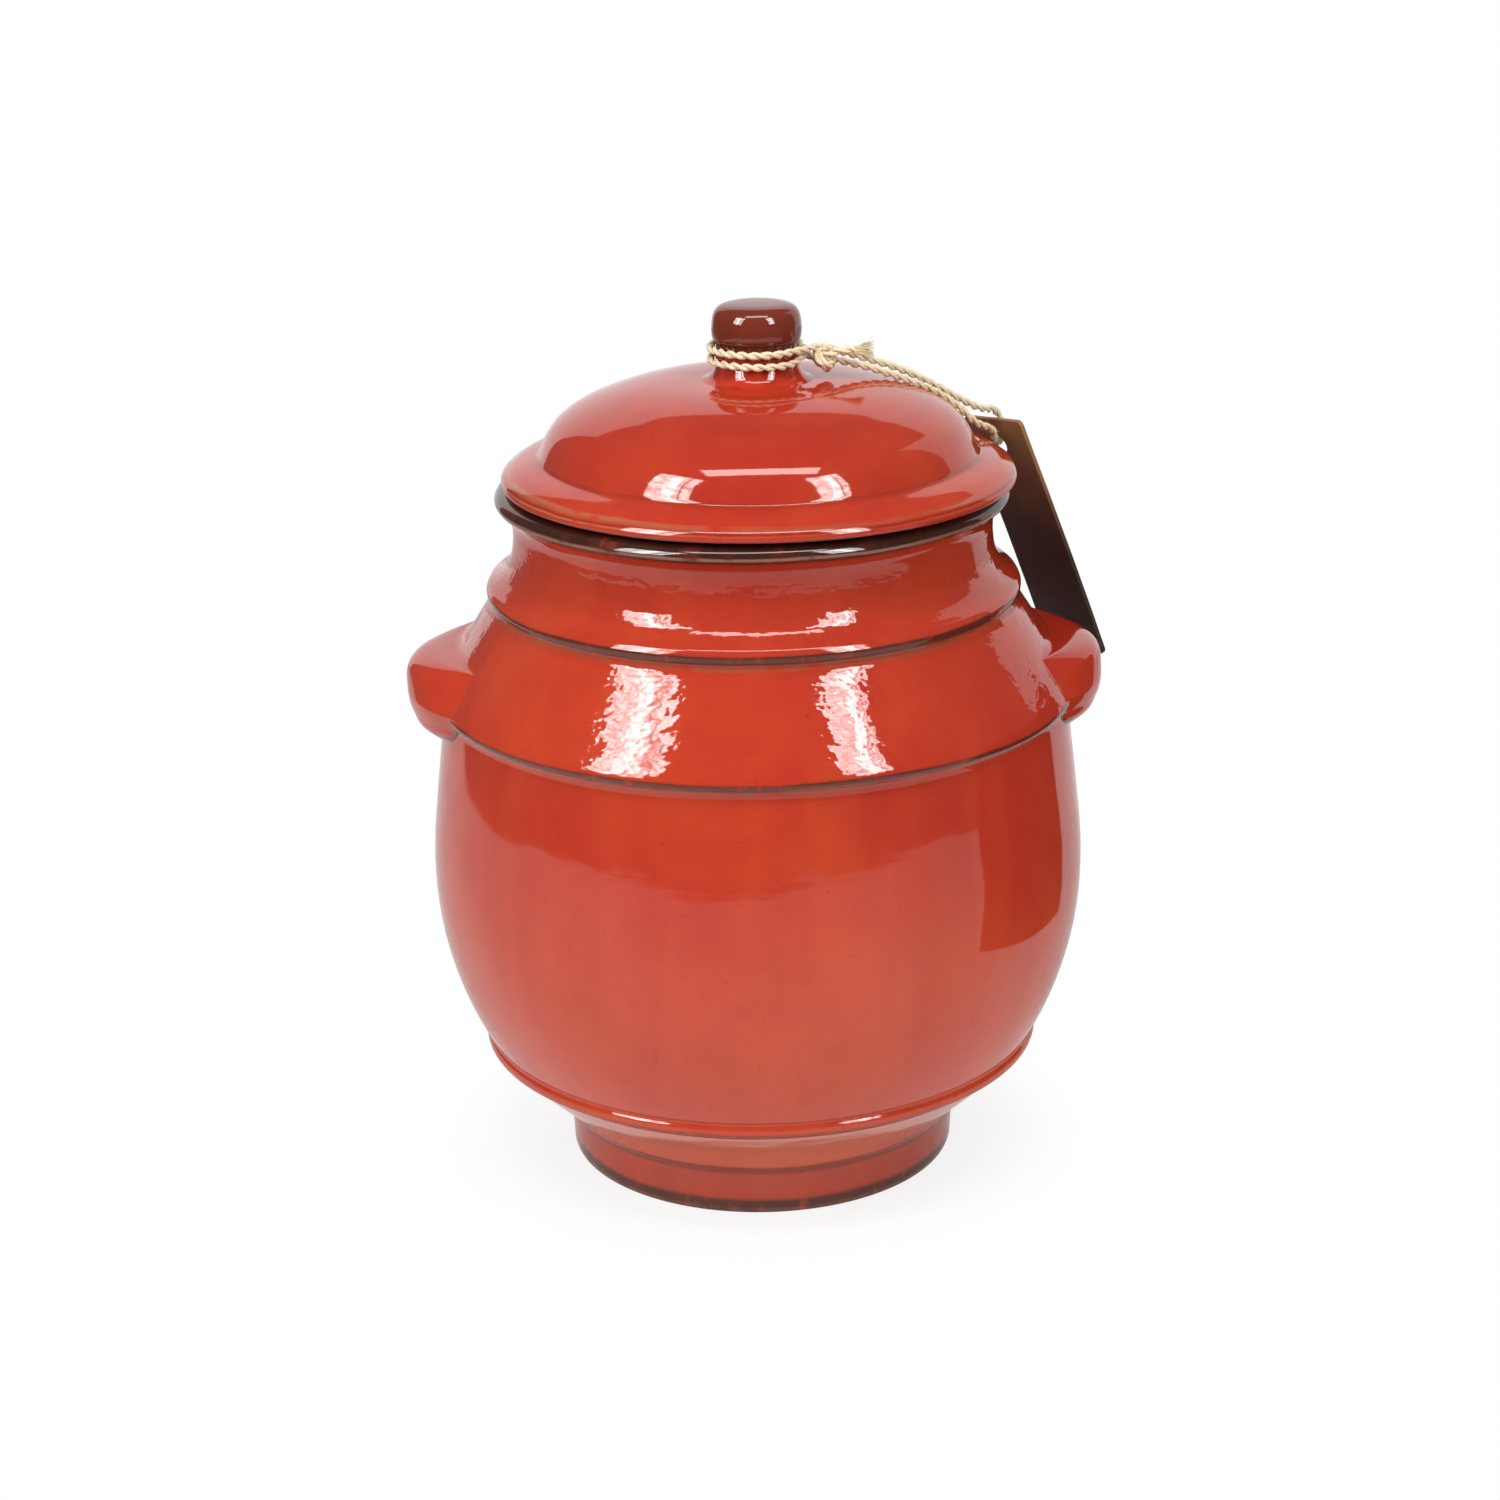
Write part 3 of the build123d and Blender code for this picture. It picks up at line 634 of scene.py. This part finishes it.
def tube(lines, width, sides, taper=0):
    """Round strands along lines, as one mesh."""
    data = bpy.data.curves.new("strands", "CURVE")
    data.dimensions = "3D"
    data.bevel_depth = width
    data.bevel_resolution = sides
    data.use_fill_caps = True
    for line in lines:
        spline = data.splines.new("POLY")
        spline.points.add(len(line) - 1)
        for at, (point, place) in enumerate(zip(spline.points, line)):
            point.co = (*place, 1.0)
            if taper:
                point.radius = 1 - (at / (len(line) - 1)) ** 2 * taper
    holder = bpy.data.objects.new("strands", data)
    mesh = bpy.data.meshes.new_from_object(holder)
    bpy.data.objects.remove(holder)
    bpy.data.curves.remove(data)
    return mesh


def strand_lines(line, reach, twist, phase, slack=0.0, seed=0):
    """One ply's line, wound about the string's centre line."""
    ways, sides = turning_frame(line)
    run, ply = 0.0, []
    for at, (place, way, side) in enumerate(zip(line, ways, sides)):
        if at:
            run += (place - line[at - 1]).length
        turn = Quaternion(way, phase + run * twist + 0.5 * slack * noise.noise(Vector((run * 130, seed, 0))))
        loose = 1 + slack * noise.noise(Vector((run * 260, seed, 4.0)))
        ply.append(place + (turn @ side) * reach * loose)
    return ply


def fuzz_lines(line, seed, number, reach, length):
    """Short fibres that stand off the string."""
    chance = random.Random(seed)
    ways, sides = turning_frame(line)
    hairs = []
    for _ in range(number):
        at = chance.randrange(1, len(line) - 2)
        way, side = ways[at], sides[at]
        out = Quaternion(way, chance.uniform(0, 2 * math.pi)) @ side
        start = line[at] + out * reach * chance.uniform(0.75, 0.95)
        lean = way * chance.uniform(-1, 1) + out * chance.uniform(0.15, 0.8)
        curl = Vector((chance.uniform(-1, 1), chance.uniform(-1, 1), chance.uniform(-1, 1))) * 0.5
        size = length * chance.uniform(0.4, 1.0)
        lean.normalize()
        hairs.append([start + (lean * t + curl * t * t * 0.6) * size for t in (0, 0.35, 0.7, 1.0)])
    return hairs


def join_into(shape, mesh):
    shape.from_mesh(mesh)
    bpy.data.meshes.remove(mesh)


HAIR, HAIR_REACH, BRISTLE, YARNS = 0.000045, 0.0012, 0.00011, 4
STEP = 0.0005  # places along a string's line are so far apart


def lay_plies(shape, line, ply, yarn, slack, seed, yarn_seed, start=0.0):
    """Two plies wound about a line, each with four yarns on it.

    A ply and a yarn are told by reach, width and twist.
    """
    for at in range(2):
        centre = strand_lines(line, ply[0], ply[2], math.pi * at + start, slack, seed + at)
        join_into(shape, tube([centre], ply[1], 3))
        yarns = []
        for k in range(YARNS):
            phase = 2 * math.pi * k / YARNS
            yarns.append(strand_lines(centre, yarn[0], yarn[2], phase, 0.2, yarn_seed[0] + yarn_seed[1] * k))
        join_into(shape, tube(yarns, yarn[1], 2))


def laid_string(name, line, hairs, seed):
    """Two-ply string with stray fibres."""
    shape = bmesh.new()
    twist = 820.0
    lay_plies(shape, line, (0.00060, 0.00063, twist), (0.00030, 0.00031, -twist * 1.7), 0.12, seed, (seed, 5))
    run = sum((b - a).length for a, b in zip(line, line[1:]))
    number = int(run * hairs)
    join_into(shape, tube(fuzz_lines(line, seed, number, HAIR_REACH, 0.0017), HAIR, 0, taper=0.7))
    mesh = bpy.data.meshes.new(name)
    shape.to_mesh(mesh)
    shape.free()
    return piece(name, mesh, LID_SET, jute_finish)


loop_line = evenly(centre_line("loop_line", loop_route), STEP)
loop = laid_string("loop_string", loop_line, hairs=1500, seed=11)
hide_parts("tag_loop")
tuple(LID_TURN @ loop_line[0])
[LID_TURN @ place for place in loop_line[::6]]


def wound_line():
    """Twice round the knob's neck, clockwise from above, with both ends led to the knot."""
    places = []
    start = knot_middle - Vector((0, 0, 0.3))
    end = knot_middle - Vector((0, 0, 4.8))
    first = math.radians(-45)
    quarter_turns, lead = 7, 8
    steps = 40 * quarter_turns
    for k in range(steps + 1):
        quarters = quarter_turns * k / steps
        angle = first - quarters * math.pi / 2
        drop = min(max(quarters - 3, 0), 1)
        drop = drop * drop * (3 - 2 * drop)
        height = UPPER_TURN + (LOWER_TURN - UPPER_TURN) * drop
        height += 0.25 * math.sin(angle * 2 + 0.6) * math.sin(math.pi * k / steps)
        places.append(Vector((AXIS_X + TURN_RADIUS * math.cos(angle), TURN_RADIUS * math.sin(angle), height)))
    lead_in = [start.lerp(places[0], t / lead) for t in range(1, lead)]
    lead_out = [places[-1].lerp(end, t / lead) for t in range(1, lead)]
    for t, place in enumerate(lead_in):
        place.z = places[0].z + (start.z - places[0].z) * (1 - (t + 1) / lead) ** 2
    for t, place in enumerate(lead_out):
        place.z = places[-1].z + (end.z - places[-1].z) * ((t + 1) / lead) ** 2
    return [place * MM for place in lead_in + places + lead_out]


winding_line = evenly(wound_line(), STEP)
winding = laid_string("winding_string", winding_line, hairs=700, seed=23)
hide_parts("twine_winding")


def knot_and_tail():
    """An overhand knot of the same string, with its cut end brushed open."""
    lump = knot_middle - Vector((0, 0.8, 4.0))
    shape = bmesh.new()
    turns = []
    for tilt, spin, wide, high, shift in (
        (0.35, 0.2, 2.6, 3.6, (0.3, 0.0, 0.2)), (1.15, 1.3, 2.5, 3.4, (-0.2, -0.2, 0.0)),
        (0.75, 2.5, 2.3, 3.2, (0.3, 0.5, -0.7)), (1.5, 0.7, 2.3, 2.7, (0.6, -0.6, 0.9)),
    ):
        turn = Matrix.Rotation(spin, 3, "Z") @ Matrix.Rotation(tilt, 3, "X")
        ring = []
        for k in range(61):
            a = 2 * math.pi * k / 60
            place = Vector((wide * math.cos(a), high * math.sin(a), 0.7 * math.sin(2 * a)))
            ring.append((lump + Vector(shift) + turn @ place) * MM)
        turns.append(ring)
    for at, ring in enumerate(turns):
        line = evenly(ring, STEP)
        lay_plies(shape, line, (0.00058, 0.00062, 820), (0.0003, 0.00031, -1400), 0.1, at, (at, 7))
        join_into(shape, tube(fuzz_lines(line, 40 + at, 16, HAIR_REACH, 0.0030), HAIR, 0, taper=0.7))
    tail_places = (-0.5, -1.2, 1.2), (2.4, -2.6, 2.3), (6.2, -2.9, 3.4), (11.5, -2.8, 3.2)
    route = [lump + Vector(place) for place in tail_places]
    tail = evenly(centre_line("tail_line", route), STEP)
    lay_plies(shape, tail, (0.0006, 0.0006, 760), (0.00032, 0.00032, -1300), 0.1, 3, (0, 9), start=0.4)
    chance = random.Random(77)
    brush = []
    start = tail[-1]
    way = (tail[-1] - tail[-6]).normalized()
    for _ in range(240):
        angle, away = chance.uniform(0, 2 * math.pi), math.sqrt(chance.random()) * 0.00125
        out = Vector((0, math.cos(angle), math.sin(angle)))
        spread = chance.uniform(0.05, 0.42)
        size = chance.uniform(0.0032, 0.0062)
        root = start - way * 0.0022 + out * away
        curl = Vector((0, chance.uniform(-1, 1), chance.uniform(-1, 1))) * 0.16
        bend = out * spread + curl
        brush.append([root + (way * t + bend * t * t) * size for t in (0, 0.3, 0.65, 1.0)])
    join_into(shape, tube(brush, BRISTLE, 0, taper=0.45))
    join_into(shape, tube(fuzz_lines(tail, 90, 30, HAIR_REACH, 0.0030), HAIR, 0, taper=0.7))
    mesh = bpy.data.meshes.new("knot_and_tail")
    shape.to_mesh(mesh)
    shape.free()
    return piece("knot_and_tail", mesh, LID_SET, jute_finish)


knot = knot_and_tail()
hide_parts("twine_knot")


def hang_tag():
    """A strip of board with a punched hole, cut corners eased, bowed a little along its length."""
    ease, corner, cuts, bow, unevenness = 0.18, 1.7, 14, 0.0009, 0.00015
    data = bpy.data.curves.new("tag_outline", "CURVE")
    data.dimensions = "2D"
    data.fill_mode = "BOTH"
    data.extrude = (TAG_THICK / 2 - ease) * MM
    data.bevel_depth = ease * MM
    data.bevel_resolution = 2
    half, top, low = TAG_WIDTH / 2 - ease, -TAG_TOP + ease, TAG_LENGTH - TAG_TOP - ease
    edge = []
    for cx, cy, turn in ((half, top, -90), (half, low, 0), (-half, low, 90), (-half, top, 180)):
        sx, sy = math.copysign(corner, cx), math.copysign(corner, cy - (low + top) / 2)
        for step in range(7):
            angle = math.radians(turn + 15 * step)
            edge.append((cx - sx + corner * math.cos(angle), cy - sy + corner * math.sin(angle)))
    hole = []
    for k in range(40):
        angle = -math.pi * k / 20
        hole.append(((HOLE + ease) * math.cos(angle), HOLE_BELOW + (HOLE + ease) * math.sin(angle)))
    for ring in (edge, hole):
        spline = data.splines.new("POLY")
        spline.points.add(len(ring) - 1)
        for point, (x, y) in zip(spline.points, ring):
            point.co = (x * MM, y * MM, 0, 1)
        spline.use_cyclic_u = True
    holder = bpy.data.objects.new("tag_outline", data)
    mesh = bpy.data.meshes.new_from_object(holder)
    bpy.data.objects.remove(holder)
    shape = bmesh.new()
    shape.from_mesh(mesh)
    bmesh.ops.remove_doubles(shape, verts=shape.verts, dist=0.00001)
    for k in range(1, cuts):
        height = (-TAG_TOP + TAG_LENGTH * k / cuts) * MM
        bmesh.ops.bisect_plane(
            shape, geom=shape.verts[:] + shape.edges[:] + shape.faces[:], plane_co=(0, height, 0),
            plane_no=(0, 1, 0),
        )
    seat = Matrix((across, down, outward)).transposed().to_4x4()
    seat.translation = pivot * MM
    for vert in shape.verts:
        along = max(vert.co.y / (TAG_LENGTH * MM), 0)
        vert.co.z += bow * along * (1 - along) * 2
        vert.co.z += unevenness * noise.noise(Vector((vert.co.x * 60, vert.co.y * 60, 0)))
    bmesh.ops.transform(shape, matrix=seat, verts=shape.verts)
    bmesh.ops.recalc_face_normals(shape, faces=shape.faces)
    shape.to_mesh(mesh)
    shape.free()
    mesh.name = "hang_tag_card"
    return piece("hang_tag_card", mesh, TAG, card_finish, smooth=False)


card = hang_tag()
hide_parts("hang_tag")


# Floor, backdrop and light, square to the lid as the photograph is
def sheet(name, corners, finish, place=LID_TURN):
    mesh = bpy.data.meshes.new(name)
    mesh.from_pydata(corners, [], [tuple(range(len(corners)))])
    made = bpy.data.objects.new(name, mesh)
    bpy.context.scene.collection.objects.link(made)
    made.matrix_world = place
    mesh.materials.append(finish)


def mixed_in(f, share, other):
    """Puts another shader over the finish's own, by a share."""
    mixed = f.node("ShaderNodeMixShader", values={0: share, 1: f.shader.outputs[0], 2: other.outputs[0]})
    end = next(n for n in f.tree.nodes if n.type == "OUTPUT_MATERIAL")
    f.tree.links.new(mixed.outputs[0], end.inputs["Surface"])
    return f.material


def white_table():
    """White board: the camera sees plain white, with the jar's soft shadow close to its foot."""
    f = Finish("table_white")
    board = f.blend(f.y.rise(-0.5, -0.12), rgb(0.62, 0.62, 0.62), rgb(0.85, 0.85, 0.85))
    f.set(Base_Color=board, Roughness=0.6)
    path = f.node("ShaderNodeLightPath")
    seen, mirrored = Level(f, path.outputs["Is Camera Ray"]), Level(f, path.outputs["Is Glossy Ray"])
    away = (f.x * f.x + f.y * f.y) ** 0.5
    white = f.node("ShaderNodeEmission", values={"Color": rgb(1, 1, 1), "Strength": 1.0})
    near = seen * (away.rise(0.064, 0.11) * 0.17 + 0.83)
    # painted light: in the glaze's reflections the board near the jar glows partly white, for a brightly lit
    # floor
    return mixed_in(f, near + mirrored * away.rise(0.16, 0.1) * 0.3, white)


def white_wall():
    """White backdrop: plain white to the camera and in the glaze's reflections."""
    f = Finish("backdrop_white")
    f.set(Base_Color=rgb(0.8, 0.8, 0.8), Roughness=0.8)
    path = f.node("ShaderNodeLightPath")
    seen = Level(f, path.outputs["Is Camera Ray"]).most(Level(f, path.outputs["Is Glossy Ray"]))
    return mixed_in(f, seen, f.node("ShaderNodeEmission", values={"Color": rgb(1, 1, 1), "Strength": 1.0}))


def dark_panel():
    """A dark panel beside the table that shows only in the glaze's reflections."""
    f = Finish("panel_dark")
    f.set(Base_Color=rgb(0.06, 0.04, 0.035), Roughness=0.8)
    path = f.node("ShaderNodeLightPath")
    unseen = 1 - Level(f, path.outputs["Is Glossy Ray"])
    return mixed_in(f, unseen, f.node("ShaderNodeBsdfTransparent"))


def window_view(name, column, bar):
    """What a window shows: bright haze, leaves and a bar."""
    f = Finish(name)
    leaves = f.grain(1, 5, 0.75, stretch=(16, 75, 1)).rise(0.42, 0.57)
    haze = f.grain(1, 2, 0.5, stretch=(5, 12, 1)).rise(0.35, 0.62)
    rails = f.grain(1, 1, 0.5, stretch=(0.4, 120, 1)).rise(0.58, 0.62)
    glow = leaves * (haze * 0.55 + 0.12) + f.x.band(column, 0.05, 0.06) * 0.4 * (leaves * 0.7 + 0.3)
    glow = (glow + rails * 0.55 + 0.05) * (1 - f.x.band(bar, 0.012, 0.012) * 0.85)
    colour = f.blend(glow, rgb(0.02, 0.02, 0.02), rgb(1.0, 0.99, 0.97))
    mirrored = Level(f, f.node("ShaderNodeLightPath").outputs["Is Glossy Ray"])
    colour = f.blend(mirrored * 0.4 + 0.6, rgb(0, 0, 0), colour)
    f.set(Base_Color=rgb(0, 0, 0), Roughness=1.0, Emission_Color=colour, Emission_Strength=40.0)
    return f.material


JAR_MIDDLE = Vector((0, 0, 0.15))


def facing(azimuth, elevation, distance):
    """The place of a flat light that faces the jar, from the photograph's front."""
    azimuth, elevation = math.radians(azimuth), math.radians(elevation)
    way = Vector((math.sin(azimuth), -math.cos(azimuth), 0)) * math.cos(elevation)
    way.z = math.sin(elevation)
    turn = (-way).to_track_quat("-Z", "Y").to_matrix().to_4x4()
    return LID_TURN @ Matrix.Translation(JAR_MIDDLE + way * distance) @ turn


def flat(half_width, half_height):
    return [(-half_width, -half_height, 0), (half_width, -half_height, 0), (half_width, half_height, 0),
            (-half_width, half_height, 0)]


def upright(start, end, low, high):
    """Corners of a wall between two places on the floor."""
    return [(*start, low), (*end, low), (*end, high), (*start, high)]


LEFT, RIGHT, FAR, CEILING = -0.95, 1.15, 1.3, 1.35
SIDE_WALL_END, BELOW_TABLE = (1.0, 0.45), -0.1
table_edge = [
    (-0.56, -0.68), (-0.28, -0.83), (-0.05, -0.88), (0.3, -0.92), (0.53, -0.83), (0.7, -0.66), (0.78, -0.42),
    (0.77, -0.16), (0.9, 0.3), (RIGHT, FAR), (LEFT, FAR), (-0.7, 0.7), (-0.53, 0.3), (-0.62, 0.1),
    (-0.72, -0.13), (-0.74, -0.43),
]
sheet("table", [(x, y, 0) for x, y in table_edge], white_table())
sheet("backdrop", upright((LEFT, FAR), (RIGHT, FAR), BELOW_TABLE, CEILING), white_wall())
sheet("side_wall", upright((RIGHT, FAR), SIDE_WALL_END, 0, CEILING), white_wall())
sheet("panel", [(0.27, -0.102, 0), (0.25, 0.11, 0), (0.25, 0.11, 0.2), (0.27, -0.102, 0.21)], dark_panel())
for name, half_width, column, bar, azimuth, elevation in (
    ("window_left", 0.31, 0.0, 0.16, -50.6, 32.0), ("window_right", 0.21, 0.06, 0.12, 40.8, 33.0),
):
    view = window_view(name + "_view", column, bar)
    sheet(name, flat(half_width, 0.5), view, facing(azimuth, elevation, distance=1.6))


def soft_lamp(name, place, wide, high, power):
    data = bpy.data.lights.new(name, "AREA")
    data.shape = "RECTANGLE"
    data.size, data.size_y = wide, high
    data.energy = power
    lamp = bpy.data.objects.new(name, data)
    bpy.context.scene.collection.objects.link(lamp)
    lamp.matrix_world = place


soft_lamp("skylight", facing(azimuth=2.0, elevation=67.0, distance=1.7), wide=1.3, high=0.34, power=14)

# The room: dim light from all round, and plain white where the camera looks past the table
ROOM_LIGHT = 0.14
world = bpy.data.worlds.new("room")
bpy.context.scene.world = world
world.use_nodes = True
sky = world.node_tree.nodes["Background"]
sky.inputs["Color"].default_value = rgb(1, 1, 1)
path = world.node_tree.nodes.new("ShaderNodeLightPath")
share = world.node_tree.nodes.new("ShaderNodeMath")
share.operation = "MULTIPLY_ADD"
share.inputs[1].default_value = 1 - ROOM_LIGHT
share.inputs[2].default_value = ROOM_LIGHT
world.node_tree.links.new(path.outputs["Is Camera Ray"], share.inputs[0])
world.node_tree.links.new(share.outputs[0], sky.inputs["Strength"])
bpy.context.scene.view_settings.view_transform = "Standard"
